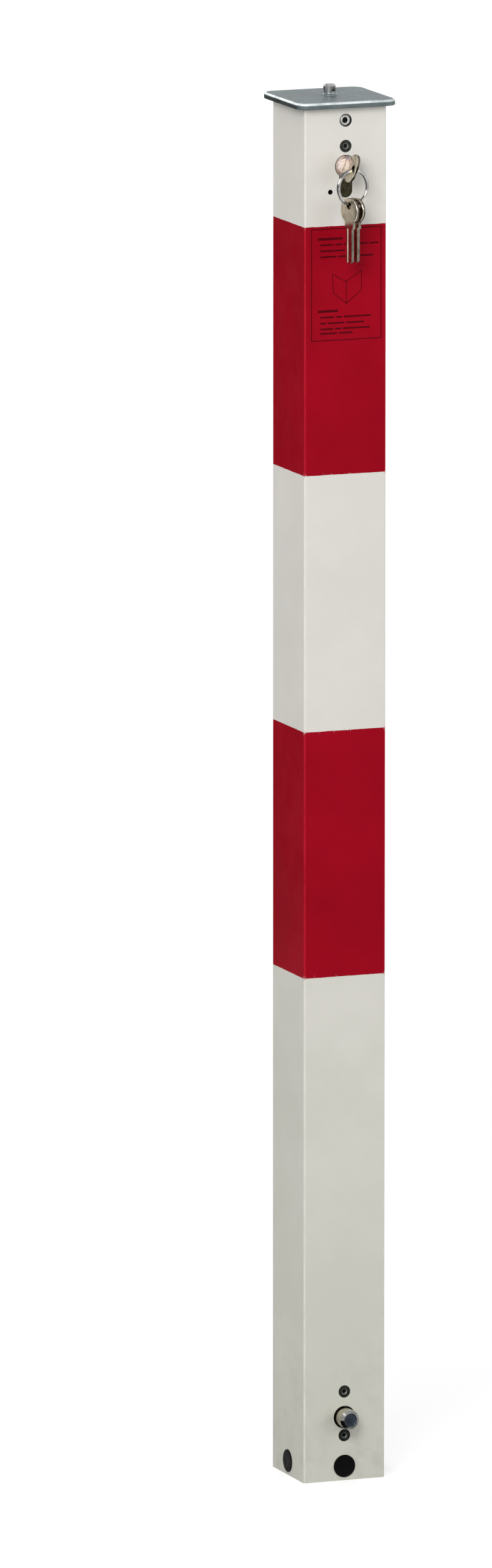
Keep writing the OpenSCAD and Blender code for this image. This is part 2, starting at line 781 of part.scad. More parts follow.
// Cross pin through the bolt, with a groove for its clip
module bolt_pin() {
    tail = 1.2;
    head_in = 0.6;
    groove_x = pin_clip_x - clip_play / 2;
    color(steel) difference() {
        rod_along_x(drive_pin_d, pin_clip_x - tail, body_d / 2 - head_in, pin_y, bolt_z);
        difference() {
            rod_along_x(drive_pin_d + cut, groove_x, groove_x + clip_t + clip_play, pin_y, bolt_z);
            rod_along_x(pin_groove_d, groove_x - cut, groove_x + clip_t + cut, pin_y, bolt_z);
        }
    }
}

// Clip that keeps the slot plate on the drive pin
module pin_clip() {
    mouth = 3.8;
    outer_d = drive_pin_d + 4.6;
    color(steel) prism_x(pin_clip_x, pin_clip_x + clip_t) translate([pin_y, bolt_z]) difference() {
        circle(d = outer_d);
        circle(d = pin_groove_d + 2 * push_gap);
        translate([0, -mouth / 2]) square([outer_d, mouth]);
    }
}

// Pressure spring wound about the bolt's axis, in the bolt's bore
module bolt_spring() {
    sides = 6;
    steps_per_turn = 16;
    steps = steps_per_turn * spring_turns;
    y0 = spring_bore_y + spring_wire / 2 + spring_end_gap;
    y1 = sleeve_end - spring_wire / 2 - spring_end_gap;
    points = [for (i = [0:steps], j = [0:sides - 1])
        let (
            turn = 360 * i / steps_per_turn,
            around = 360 * j / sides,
            r = spring_r + spring_wire / 2 * cos(around),
            y = y0 + (y1 - y0) * i / steps + spring_wire / 2 * sin(around)
        ) [r * cos(turn), y, bolt_z + r * sin(turn)]];
    walls = [for (i = [0:steps - 1], j = [0:sides - 1])
        let (k = (j + 1) % sides, a = i * sides, b = a + sides) [a + j, a + k, b + k, b + j]];
    first = [for (j = [sides - 1:-1:0]) j];
    last = [for (j = [0:sides - 1]) steps * sides + j];
    color(steel) polyhedron(points, concat([first], walls, [last]));
}

// Plastic glide with a flat head outside and a snap lip inside the wall
module glide(turn) {
    r = glide_d / 2;
    stem = glide_stem_d / 2;
    lip = tube_wall + 0.1;
    color(black) rotate(turn) out_of_front(glide_z) rotate_extrude() polygon([
        [0, -lip - glide_tip], [stem - 2 * glide_lip, -lip - glide_tip],
        [stem + glide_lip, -lip - glide_lip / 2], [stem + glide_lip, -lip],
        [stem, -lip], [stem, 0], [r, 0], [r, glide_out - glide_lip], [r - glide_lip, glide_out],
        [0, glide_out]
    ]);
}

module glide_front() { glide(0); }

module glide_right() { glide(90); }

module glide_back() { glide(180); }

module glide_left() { glide(270); }

post_tube();
head_plate();
lifting_lug();
head_collar();
head_screw();
lock_carrier();
carrier_screw();
cylinder_body();
cylinder_screw();
cylinder_plug();
lock_cam();
plug_clip();
key();
key_ring();
spare_key_a();
spare_key_b();
pull_rod();
slot_plate();
rod_rivets();
rod_guide();
bolt_housing();
housing_screws();
locking_bolt();
bolt_pin();
pin_clip();
bolt_spring();
glide_front();
glide_back();
glide_left();
glide_right();
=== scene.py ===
"""Looks of the barrier post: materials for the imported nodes, a printed panel, the bolt's spring,
floor, lamps and camera. Lengths are in metres, and MM turns millimetres into them."""
import math

import bpy
from mathutils import Matrix, Vector

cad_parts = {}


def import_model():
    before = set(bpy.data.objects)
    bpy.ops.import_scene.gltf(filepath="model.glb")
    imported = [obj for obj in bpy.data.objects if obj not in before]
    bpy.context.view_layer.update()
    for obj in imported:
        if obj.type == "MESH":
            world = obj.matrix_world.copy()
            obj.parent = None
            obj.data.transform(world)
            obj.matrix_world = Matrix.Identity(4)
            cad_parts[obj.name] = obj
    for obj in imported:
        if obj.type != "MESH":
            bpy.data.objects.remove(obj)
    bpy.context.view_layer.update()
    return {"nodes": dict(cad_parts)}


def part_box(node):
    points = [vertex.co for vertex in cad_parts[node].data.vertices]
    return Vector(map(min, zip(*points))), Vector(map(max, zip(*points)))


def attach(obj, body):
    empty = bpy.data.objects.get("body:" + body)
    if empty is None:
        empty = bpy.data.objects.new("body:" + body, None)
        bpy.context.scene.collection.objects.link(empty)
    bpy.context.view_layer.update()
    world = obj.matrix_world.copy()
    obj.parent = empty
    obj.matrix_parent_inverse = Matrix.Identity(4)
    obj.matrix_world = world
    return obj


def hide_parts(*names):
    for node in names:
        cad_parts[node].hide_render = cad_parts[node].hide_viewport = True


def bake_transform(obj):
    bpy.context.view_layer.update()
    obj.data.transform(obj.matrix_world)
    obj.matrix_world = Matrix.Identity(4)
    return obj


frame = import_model()
nodes = frame["nodes"]

MM = 0.001
FACE_Y = -35 * MM  # front face of the tube
LOCK_Z = 1067.5 * MM  # axis of the lock's core
BOLT_Z = 52 * MM  # axis of the locking bolt
BLACK_SOCKET_R, BLACK_BEVEL_R = 1.6, 2.4  # black screws, in mm
BRIGHT_SOCKET_R = 2.4  # head screw, in mm
BLACK_HEAD_R = 5.0 * MM
KEY_TURN = 20  # degrees that the key in the lock is turned
SPARE_A_TURN, SPARE_B_TURN = 13, 15  # degrees that the spare keys are turned about the vertical

# Sockets of a Mix node that mixes colours
MIX_A, MIX_B, MIX_RESULT = 6, 7, 2


def srgb(r, g, b):
    """A display colour, 0 to 255, as the linear values that the shaders take."""
    def linear(v):
        v /= 255
        return v / 12.92 if v <= 0.04045 else ((v + 0.055) / 1.055) ** 2.4
    return linear(r), linear(g), linear(b), 1.0


class Shader:
    """A material with one Principled shader and short calls for the nodes round it."""

    def __init__(self, name, **constants):
        self.material = bpy.data.materials.new(name)
        self.material.use_nodes = True
        self.tree = self.material.node_tree
        self.tree.nodes.clear()
        self.out = self.tree.nodes.new("ShaderNodeOutputMaterial")
        self.bsdf = self.tree.nodes.new("ShaderNodeBsdfPrincipled")
        self.tree.links.new(self.bsdf.outputs[0], self.out.inputs[0])
        for key, value in constants.items():
            self.bsdf.inputs[key.replace("_", " ")].default_value = value
        self.where = self.node("ShaderNodeTexCoord").outputs["Object"]

    def node(self, kind, **settings):
        n = self.tree.nodes.new(kind)
        for key, value in settings.items():
            setattr(n, key, value)
        return n

    def put(self, value, socket):
        """Links an output to a socket, or sets a constant on it."""
        if isinstance(value, bpy.types.NodeSocket):
            self.tree.links.new(value, socket)
        else:
            socket.default_value = value

    def set(self, name, value):
        self.put(value, self.bsdf.inputs[name])

    def math(self, operation, a, b=0.0):
        n = self.node("ShaderNodeMath", operation=operation)
        for value, socket in zip((a, b), n.inputs):
            self.put(value, socket)
        return n.outputs[0]

    def product(self, a, b):
        return self.math("MULTIPLY", a, b)

    def split(self, vector):
        """The x, y and z of a vector."""
        n = self.node("ShaderNodeSeparateXYZ")
        self.put(vector, n.inputs[0])
        return n.outputs["X"], n.outputs["Y"], n.outputs["Z"]

    def normal(self):
        """The surface's own direction, in the object's axes."""
        return self.node("ShaderNodeTexCoord").outputs["Normal"]

    def along(self, vector, direction):
        """How far a vector points along a fixed direction, or against it: 0 to 1."""
        n = self.node("ShaderNodeVectorMath", operation="DOT_PRODUCT")
        self.put(vector, n.inputs[0])
        n.inputs[1].default_value = direction
        return self.math("ABSOLUTE", n.outputs["Value"])

    def radius(self, centres):
        """Distance from the nearest of some axes that run along Y, each through (x, z)."""
        best = None
        for x, z in centres:
            n = self.node("ShaderNodeVectorMath", operation="DISTANCE")
            self.put(self.stretched(1, 0, 1), n.inputs[0])
            n.inputs[1].default_value = (x, 0, z)
            far = n.outputs["Value"]
            best = far if best is None else self.math("MINIMUM", best, far)
        return best

    def stretched(self, x, y, z):
        """The place in the object with each axis scaled. A small scale draws a pattern out."""
        n = self.node("ShaderNodeMapping")
        self.put(self.where, n.inputs["Vector"])
        n.inputs["Scale"].default_value = (x, y, z)
        return n.outputs[0]

    def noise(self, scale, detail=3.0, roughness=0.55, vector=None, distortion=0.0):
        n = self.node("ShaderNodeTexNoise")
        self.put(vector or self.where, n.inputs["Vector"])
        n.inputs["Scale"].default_value = scale
        n.inputs["Detail"].default_value = detail
        n.inputs["Roughness"].default_value = roughness
        n.inputs["Distortion"].default_value = distortion
        return n.outputs["Fac"]

    def cells(self, scale, output="Distance"):
        n = self.node("ShaderNodeTexVoronoi")
        self.put(self.where, n.inputs["Vector"])
        n.inputs["Scale"].default_value = scale
        return n.outputs[output]

    def ramp(self, value, low, high, start=0.0, end=1.0):
        """value from low to high becomes start to end, and stays there outside."""
        n = self.node("ShaderNodeMapRange", interpolation_type="SMOOTHSTEP")
        names = ("Value", "From Min", "From Max", "To Min", "To Max")
        for name, v in zip(names, (value, low, high, start, end)):
            self.put(v, n.inputs[name])
        return n.outputs[0]

    def blend(self, factor, a, b):
        n = self.node("ShaderNodeMix", data_type="RGBA")
        self.put(factor, n.inputs[0])
        self.put(a, n.inputs[MIX_A])
        self.put(b, n.inputs[MIX_B])
        return n.outputs[MIX_RESULT]

    def tint(self, field, dark, light, low=0.3, high=0.7):
        """From dark to light as a noise field goes from low to high."""
        return self.blend(self.ramp(field, low, high), dark, light)

    def bump(self, height, distance_mm, strength=1.0, under=None):
        n = self.node("ShaderNodeBump")
        n.inputs["Strength"].default_value = strength
        n.inputs["Distance"].default_value = distance_mm * MM
        self.put(height, n.inputs["Height"])
        if under is not None:
            self.put(under, n.inputs["Normal"])
        return n.outputs[0]

    def worked(self, drift, rough, marks=(1, 1, 1), grain=(1, 1, 1), swell=(0.05, 0.3)):
        """Metal that was handled: marks in the roughness, and a fine grain on a slight swell."""
        rub_marks_and_highlight = self.noise(420, 5, 0.7, self.stretched(*marks))
        self.set("Roughness", self.ramp(rub_marks_and_highlight, 0.3, 0.72, *rough))
        fine = self.noise(1100, 3, 0.6, self.stretched(*grain))
        self.set("Normal", self.bump(fine, 0.012, 0.4, self.bump(drift, *swell)))


BANDS = ((413, 613), (820, 1020))  # lower and upper edge of each red band, in mm
BAND_BLUR = 0.1  # half the width of a band's edge, in mm
BAND_WAVER = 0.5 * MM
WHITE_HIGH_Z, WHITE_LOW_Z = 0.85, 0.1  # between these the white darkens from warm to grey towards the foot, as painted shade
DUST_TOP_Z = 0.16
SCUFF_TOP_Z, SCUFF_FULL_Z = 0.30, 0.05
OUTSIDE = 34.9 * MM  # a tenth inside the tube's outer faces
CORNER_START = 28 * MM  # from here outwards a place belongs to a folded corner


def powder_coat():
    """White powder coat with two red bands. The tube's inside is bare metal, in a dark grey that is
    partly painted shade.
    """
    s = Shader("powder_coat", IOR=1.5, Specular_IOR_Level=0.06)
    x, y, z = s.split(s.where)
    level = s.math("ADD", z, s.product(s.math("SUBTRACT", s.noise(160, 2), 0.5), BAND_WAVER))
    bands = [s.product(s.ramp(level, (low - BAND_BLUR) * MM, (low + BAND_BLUR) * MM),
                       s.ramp(level, (high + BAND_BLUR) * MM, (high - BAND_BLUR) * MM))
             for low, high in BANDS]
    red = s.math("MAXIMUM", *bands)
    patches = s.noise(9, 4, 0.6)
    # Painted shade: the white is darker and greyer low on the post than high up, as if less light
    # reached the foot
    lit_white = s.tint(patches, srgb(218, 215, 209), srgb(224, 221, 215), 0.35, 0.68)
    shaded_white = s.tint(patches, srgb(206, 206, 196), srgb(213, 212, 203), 0.35, 0.68)
    white = s.blend(s.ramp(z, WHITE_HIGH_Z, WHITE_LOW_Z), lit_white, shaded_white)
    crimson = s.tint(patches, srgb(146, 2, 24), srgb(158, 3, 28), 0.35, 0.68)
    colour = s.blend(red, white, crimson)
    # Road dust on the lowest part, and scuffs where a sleeve's rim rubs
    dust = s.product(s.ramp(z, DUST_TOP_Z, 0.0),
                     s.ramp(s.noise(38, 5, 0.65), 0.42, 0.75, 0.06, 0.42))
    colour = s.blend(dust, colour, srgb(171, 167, 153))
    streak = s.noise(60, 4, 0.7, s.stretched(1, 1, 0.07))
    scuff = s.product(s.ramp(streak, 0.66, 0.74), s.ramp(z, SCUFF_TOP_Z, SCUFF_FULL_Z))
    colour = s.blend(s.product(scuff, 0.35), colour, srgb(150, 147, 140))
    # Painted highlight on the folded corners: lighter white and red where the surface turns round a
    # corner
    normal_x, normal_y, _ = s.split(s.normal())
    corner = s.math("ABSOLUTE", s.product(normal_x, normal_y))
    rim = s.product(s.ramp(corner, 0.1, 0.5), s.ramp(s.noise(55, 3), 0.3, 0.7, 0.35, 0.8))
    colour = s.blend(rim, colour, s.blend(red, srgb(236, 234, 229), srgb(192, 30, 50)))
    # Bare metal inside the tube and in the walls of its openings, its dark grey partly painted shade
    # in these recesses
    across, deep = s.math("ABSOLUTE", x), s.math("ABSOLUTE", y)
    inner = s.product(s.math("LESS_THAN", s.math("MAXIMUM", across, deep), OUTSIDE),
                      s.math("LESS_THAN", s.math("MINIMUM", across, deep), CORNER_START))
    bare_metal_and_shade = s.tint(s.noise(24, 4), srgb(70, 72, 71), srgb(104, 106, 103), 0.4, 0.66)
    s.set("Base Color", s.blend(inner, colour, bare_metal_and_shade))
    s.set("Metallic", s.product(inner, 0.75))
    # The red is a little glossier, and the dust is dull
    rough = s.ramp(s.noise(45, 4, 0.6), 0.3, 0.7, 0.46, 0.6)
    rough = s.math("SUBTRACT", rough, s.product(red, 0.07))
    s.set("Roughness", s.math("ADD", rough, s.product(dust, 0.3)))
    peel = s.bump(s.noise(700, 2, 0.5), 0.05, 0.5)
    s.set("Normal", s.bump(s.noise(16, 2), 0.25, 0.25, peel))
    return s.material


UNDERSIDE_SHADE = (0.02, 0.025, 0.025, 1)  # painted shade on undersides: near black, in linear values


def galvanised(name, dark, light, rough, rub_marks_and_highlight=None):
    """Hot-dip zinc: faint crystals, drifting patches and fine rub marks.
    With a highlight colour, edges that face half up take it as a painted highlight, and undersides
    are painted dark as shade."""
    s = Shader(name)
    patches = s.noise(34, 6, 0.62, distortion=0.6)
    grains = s.node("ShaderNodeSeparateColor")
    s.put(s.cells(620, "Color"), grains.inputs[0])
    tone = s.math("ADD", s.product(patches, 0.94), s.product(grains.outputs["Red"], 0.06))
    colour = s.tint(tone, dark, light)
    if rub_marks_and_highlight:
        # Painted highlight on edges that face half up, and painted shade on undersides
        up = s.split(s.normal())[2]
        rim = s.product(s.ramp(up, 0.1, 0.4), s.ramp(up, 0.99, 0.93))
        rim = s.product(rim, s.ramp(s.noise(90, 3), 0.3, 0.6, 0.55, 1.0))
        colour = s.blend(rim, colour, rub_marks_and_highlight)
        colour = s.blend(s.ramp(up, 0.15, -0.1, 0.0, 0.4), colour, UNDERSIDE_SHADE)
    s.set("Base Color", colour)
    s.set("Metallic", 0.88)
    gloss = s.math("ADD", s.product(grains.outputs["Green"], 0.25), s.product(patches, 0.75))
    s.set("Roughness", s.ramp(gloss, 0.3, 0.75, *rough))
    lines = s.noise(900, 3, 0.6, s.stretched(0.12, 1, 1))
    s.set("Normal", s.bump(lines, 0.02, 0.35, s.bump(patches, 0.25, 0.4)))
    return s.material


def plated(name, dark, light, rough):
    """Plated or bright metal, worked all over, with a slight drift of its tint."""
    s = Shader(name)
    drift = s.noise(120, 4, 0.6)
    s.set("Base Color", s.tint(drift, dark, light))
    s.set("Metallic", 1.0)
    s.worked(drift, rough)
    return s.material


def key_metal(name, thickness_axis):
    """Nickel on a key: satin faces, and edges painted dark as shade, by how far they turn from the
    flat sides.
    """
    s = Shader(name)
    drift = s.noise(120, 4, 0.6)
    face = s.tint(drift, srgb(172, 162, 144), srgb(212, 202, 184))
    # Painted shade on the edges that turn away from the key's flat sides
    shaded_edge = s.tint(drift, srgb(62, 60, 54), srgb(112, 107, 98))
    flat = s.ramp(s.along(s.normal(), thickness_axis), 0.25, 0.6)
    s.set("Base Color", s.blend(flat, shaded_edge, face))
    s.set("Metallic", 1.0)
    s.worked(drift, (0.12, 0.28), marks=(1, 1, 0.3), grain=(1, 1, 0.2))
    return s.material


# Turned rings on a face, in radians of their wave for each metre of radius
SCREW_RINGS, BOLT_RINGS = 26000, 17000
BOLT_END_R = (5.4 * MM, 5.7 * MM)  # the dark end face gives way to the chamfer between these
CHAMFER_DEPTH = (2.3 * MM, 2.5 * MM)  # and the chamfer to the shank between these, from the end


def black_oxide(name, centres, socket_mm, bevel_mm):
    """Blackened screw, with a painted highlight on the bevel round its socket and painted shade in
    the socket.
    """
    s = Shader(name, Specular_IOR_Level=0.3)
    worn = s.noise(500, 4, 0.65)
    black = s.tint(worn, srgb(32, 34, 32), srgb(60, 63, 59), 0.35, 0.72)
    r = s.radius(centres)
    # Painted highlight: a light ring on the bevel round the socket
    bevel_highlight = s.product(s.ramp(r, (socket_mm - 0.1) * MM, (socket_mm + 0.1) * MM),
                     s.ramp(r, (bevel_mm + 0.15) * MM, (bevel_mm - 0.15) * MM))
    colour = s.blend(s.product(bevel_highlight, 0.9), black, srgb(124, 127, 122))
    # Painted shade in the socket
    socket_shade = s.ramp(r, (socket_mm + 0.05) * MM, (socket_mm - 0.2) * MM)
    s.set("Base Color", s.blend(socket_shade, colour, srgb(16, 16, 15)))
    s.set("Metallic", 0.55)
    s.set("Roughness", s.ramp(worn, 0.3, 0.7, 0.34, 0.5))
    s.set("Normal", s.bump(s.noise(1600, 3), 0.015, 0.5))
    return s.material


def bright_screw(name, centres, socket_mm, face_y):
    """Bright screw head: a light turned face round a socket painted full of shadow, with painted
    shade on the head's side.
    """
    s = Shader(name)
    worn = s.noise(300, 4, 0.6)
    steel = s.tint(worn, srgb(206, 206, 202), srgb(236, 236, 232))
    y, r = s.split(s.where)[1], s.radius(centres)
    # Painted shade on the head's side, below its face, and in its socket
    shaded_side = s.ramp(y, face_y + 0.5 * MM, face_y + 1.0 * MM)
    colour = s.blend(shaded_side, steel, srgb(60, 62, 62))
    colour = s.blend(s.ramp(r, socket_mm * MM, (socket_mm - 0.3) * MM), colour, srgb(14, 14, 14))
    s.set("Base Color", colour)
    s.set("Metallic", 0.6)
    s.set("Roughness", s.ramp(worn, 0.3, 0.7, 0.22, 0.38))
    rings = s.math("SINE", s.product(r, SCREW_RINGS))
    s.set("Normal", s.bump(rings, 0.008, 0.4))
    return s.material


def bolt_metal(centre, face_y):
    """Bright bolt: a satin shank, a polished chamfer painted darker, and an end face with lathe rings
    painted dark blue-grey, as painted reflections of dark surroundings.
    """
    s = Shader("bolt_metal")
    drift = s.noise(120, 4, 0.6)
    shank = s.tint(drift, srgb(166, 161, 148), srgb(206, 200, 184))
    # Painted reflection: the chamfer and the end face are darker than the shank, as if they mirrored
    # dark surroundings
    chamfer = s.tint(drift, srgb(104, 104, 102), srgb(152, 152, 148))
    end = s.tint(drift, srgb(46, 54, 64), srgb(74, 82, 94))
    r, y = s.radius([centre]), s.split(s.where)[1]
    shallow, deep = CHAMFER_DEPTH
    colour = s.blend(s.ramp(y, face_y + deep, face_y + shallow), shank, chamfer)
    inner, outer = BOLT_END_R
    s.set("Base Color", s.blend(s.ramp(r, outer, inner), colour, end))
    s.set("Metallic", s.ramp(r, inner, outer, 0.3, 1.0))
    turned_marks = s.stretched(1, 6, 1)
    s.set("Roughness", s.ramp(s.noise(420, 5, 0.7, turned_marks), 0.3, 0.72, 0.1, 0.24))
    grain = s.bump(s.noise(1100, 3, 0.6, turned_marks), 0.012, 0.4)
    s.set("Normal", s.bump(s.math("SINE", s.product(r, BOLT_RINGS)), 0.006, 0.35, grain))
    return s.material


def lug_metal(base_z):
    """Turned steel stud; its welded foot has the plate's dull zinc."""
    s = Shader("lug_metal")
    drift = s.noise(120, 4, 0.6)
    steel = s.tint(drift, srgb(140, 142, 142), srgb(192, 192, 190))
    zinc = s.tint(drift, srgb(88, 98, 100), srgb(124, 134, 136))
    z = s.split(s.where)[2]
    foot = s.ramp(z, base_z + 2.2 * MM, base_z + 1.4 * MM)
    s.set("Base Color", s.blend(foot, steel, zinc))
    s.set("Metallic", 1.0)
    s.worked(drift, (0.14, 0.32), marks=(1, 1, 7), grain=(1, 1, 7))
    return s.material


def lock_metal(name, light, dark, lobe=None, lobe_z=0.0):
    """Nickel on brass: bright and a little pink, with a painted dark reflection on a lower lobe where
    its colour is named.
    """
    s = Shader(name)
    drift = s.noise(190, 4, 0.65)
    colour = s.tint(drift, dark, light, 0.32, 0.66)
    if lobe:
        # Painted reflection: below lobe_z the colour turns dark olive, as if the lobe mirrored dark
        # surroundings
        z = s.split(s.where)[2]
        colour = s.blend(s.ramp(z, lobe_z, lobe_z - 3 * MM), colour, lobe)
    s.set("Base Color", colour)
    s.set("Metallic", 0.72)
    s.worked(drift, (0.16, 0.34), swell=(0.06, 0.35))
    return s.material


def moulded_plastic():
    """Near-black plastic with a fine cast texture, rubbed a little lighter in places."""
    s = Shader("moulded_plastic", IOR=1.46, Specular_IOR_Level=0.08)
    rub = s.noise(210, 4, 0.7)
    s.set("Base Color", s.tint(rub, srgb(8, 9, 8), srgb(20, 20, 19), 0.55, 0.8))
    s.set("Roughness", s.ramp(rub, 0.3, 0.7, 0.5, 0.66))
    s.set("Normal", s.bump(s.cells(1500), 0.02, 0.35))
    return s.material


def print_ink():
    """The panel's ink: dark red, worn in small spots."""
    s = Shader("print_ink", Specular_IOR_Level=0.05)
    wear = s.noise(600, 4, 0.7)
    s.set("Base Color", s.tint(wear, srgb(78, 2, 12), srgb(104, 2, 17), 0.5, 0.75))
    s.set("Roughness", s.ramp(wear, 0.3, 0.7, 0.42, 0.6))
    s.set("Normal", s.bump(s.noise(900, 2), 0.01, 0.4))
    return s.material


zinc_dip = galvanised(
    "zinc_dip", srgb(94, 104, 106), srgb(118, 129, 130), (0.42, 0.58), rub_marks_and_highlight=srgb(226, 232, 232))
zinc_sheet = galvanised("zinc_sheet", srgb(128, 132, 130), srgb(176, 178, 172), (0.24, 0.4))
bright_steel = plated("bright_steel", srgb(150, 152, 154), srgb(198, 200, 200), (0.12, 0.26))
ring_steel = plated("ring_steel", srgb(88, 88, 86), srgb(142, 141, 137), (0.08, 0.2))
spring_wire = plated("spring_wire", srgb(96, 98, 100), srgb(148, 150, 150), (0.2, 0.36))
coat, plastic = powder_coat(), moulded_plastic()


def axis_of(node):
    """Centre of a node's box, as (x, z)."""
    low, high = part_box(node)
    return (low[0] + high[0]) / 2, (low[2] + high[2]) / 2


def turned(degrees):
    """Direction of a hanging key's thickness when it is turned about the vertical."""
    return math.cos(math.radians(degrees)), math.sin(math.radians(degrees)), 0


key_tilt = math.radians(KEY_TURN)
lower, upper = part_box("housing_screws")
housing_axes = [(0, lower[2] + BLACK_HEAD_R), (0, upper[2] - BLACK_HEAD_R)]
carrier_oxide = black_oxide(
    "carrier_oxide", [axis_of("carrier_screw")], BLACK_SOCKET_R, BLACK_BEVEL_R)
housing_oxide = black_oxide("housing_oxide", housing_axes, BLACK_SOCKET_R, BLACK_BEVEL_R)
head_bright = bright_screw(
    "head_bright", [axis_of("head_screw")], BRIGHT_SOCKET_R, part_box("head_screw")[0][1])
# The body's dark olive lower lobe is a painted reflection
body_nickel = lock_metal(
    "body_nickel", srgb(228, 214, 210), srgb(178, 154, 142), srgb(84, 78, 58), LOCK_Z - 8 * MM)
# Painted reflection: the plug's nickel is paler than the body's, as if its face mirrored bright
# surroundings
plug_nickel = lock_metal("plug_nickel", srgb(246, 240, 244), srgb(216, 200, 198))

FINISH = {
    "post_tube": coat,
    "head_plate": zinc_dip, "head_collar": zinc_sheet,
    "lifting_lug": lug_metal(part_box("lifting_lug")[0][2]), "head_screw": head_bright,
    "lock_carrier": zinc_sheet, "pull_rod": zinc_sheet, "slot_plate": zinc_sheet,
    "rod_guide": zinc_sheet, "bolt_housing": zinc_sheet,
    "rod_rivets": bright_steel, "lock_cam": bright_steel, "cylinder_screw": bright_steel,
    "carrier_screw": carrier_oxide, "housing_screws": housing_oxide,
    "cylinder_body": body_nickel, "cylinder_plug": plug_nickel,
    "key": key_metal("key_metal", (math.cos(key_tilt), 0, -math.sin(key_tilt))),
    "spare_key_a": key_metal("key_metal_a", turned(SPARE_A_TURN)),
    "spare_key_b": key_metal("key_metal_b", turned(SPARE_B_TURN)),
    "key_ring": ring_steel,
    "locking_bolt": bolt_metal((0, BOLT_Z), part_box("locking_bolt")[0][1]), "bolt_pin": bright_steel,
    "pin_clip": spring_wire, "plug_clip": spring_wire, "bolt_spring": spring_wire,
    "glide_front": plastic, "glide_back": plastic, "glide_left": plastic, "glide_right": plastic,
}
for name, obj in nodes.items():
    obj.data.materials.clear()
    obj.data.materials.append(FINISH[name])


def mesh_piece(name, vertices, faces, body, material):
    """A new piece that rides on a body, or on none."""
    mesh = bpy.data.meshes.new(name)
    mesh.from_pydata([tuple(v) for v in vertices], [], faces)
    mesh.update()
    obj = bpy.data.objects.new(name, mesh)
    bpy.context.scene.collection.objects.link(obj)
    mesh.materials.append(material)
    if body:
        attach(obj, body)
    return obj


# Printed panel on the upper red band: all lengths in mm, places as (x, z) on the tube's front
INK = 0.04
PANEL_LEFT, PANEL_RIGHT, PANEL_TOP, PANEL_BOTTOM = -29, 30.3, 1017.8, 928.3
FRAME_LINE, BLOCK_LINE = 0.7, 0.55
TITLE, TEXT = 1.9, 1.3  # heights of the dashes
DASH_GAP = 1.6
# Each row: where it starts, the lengths of its dashes, and their height
ROWS = (
    (-23.5, 1009.8, (21,), TITLE),
    (-21.5, 1005.0, (11, 6, 20, 8), TEXT),
    (-21.5, 1000.2, (21,), TEXT),
    (-21.5, 995.4, (14, 17, 11), TEXT),
    (-23.5, 951.8, (17,), TITLE),
    (-21.5, 946.9, (12, 5, 23), TEXT),
    (-21.5, 942.1, (5, 14, 15), TEXT),
    (-21.5, 937.5, (11, 5, 23), TEXT),
    (-21.5, 933.9, (14, 12), TEXT),
)
BLOCK = ((-11.4, 981.5), (0.6, 974.8), (13.6, 983.5), (13.6, 967.5), (0.6, 957.3), (-10.2, 966.2))
BLOCK_EDGES = ((0, 1), (1, 2), (2, 3), (3, 4), (4, 5), (5, 0), (1, 4))


def printed_panel():
    """A thin frame, rows of plain dashes and an outlined block, raised by the ink's thickness."""
    vertices, faces = [], []

    def stroke(a, b, width):
        (x0, z0), (x1, z1) = a, b
        length = math.hypot(x1 - x0, z1 - z0)
        px, pz = -(z1 - z0) / length * width / 2, (x1 - x0) / length * width / 2
        outline = [(x0 + px, z0 + pz), (x0 - px, z0 - pz), (x1 - px, z1 - pz), (x1 + px, z1 + pz)]
        base = len(vertices)
        for depth in (0.0, INK * MM):
            vertices.extend((x * MM, FACE_Y - depth, z * MM) for x, z in outline)
        faces.append([base + i for i in (4, 5, 6, 7)])
        for i in range(4):
            j = (i + 1) % 4
            faces.append([base + i, base + j, base + 4 + j, base + 4 + i])

    corners = [(PANEL_LEFT, PANEL_TOP), (PANEL_RIGHT, PANEL_TOP),
               (PANEL_RIGHT, PANEL_BOTTOM), (PANEL_LEFT, PANEL_BOTTOM)]
    for i in range(4):
        (x0, z0), (x1, z1) = corners[i], corners[(i + 1) % 4]
        # The level lines reach past the corners by half a line, so that the corners are full
        grow = 0 if x0 == x1 else math.copysign(FRAME_LINE / 2, x1 - x0)
        stroke((x0 - grow, z0), (x1 + grow, z1), FRAME_LINE)
    for x, z, dashes, height in ROWS:
        for length in dashes:
            stroke((x, z), (x + length, z), height)
            x += length + DASH_GAP
    for i, j in BLOCK_EDGES:
        stroke(BLOCK[i], BLOCK[j], BLOCK_LINE)
    mesh_piece("printed_panel", vertices, faces, "post", print_ink())


printed_panel()


WIRE_R, COIL_R = 0.65 * MM, 4.3 * MM
COILS = 8  # with the closed one at each end
CLOSED_PITCH = 2.08 * WIRE_R  # a little over the wire's thickness
WIRE_SIDES, STEPS_PER_COIL = 12, 32


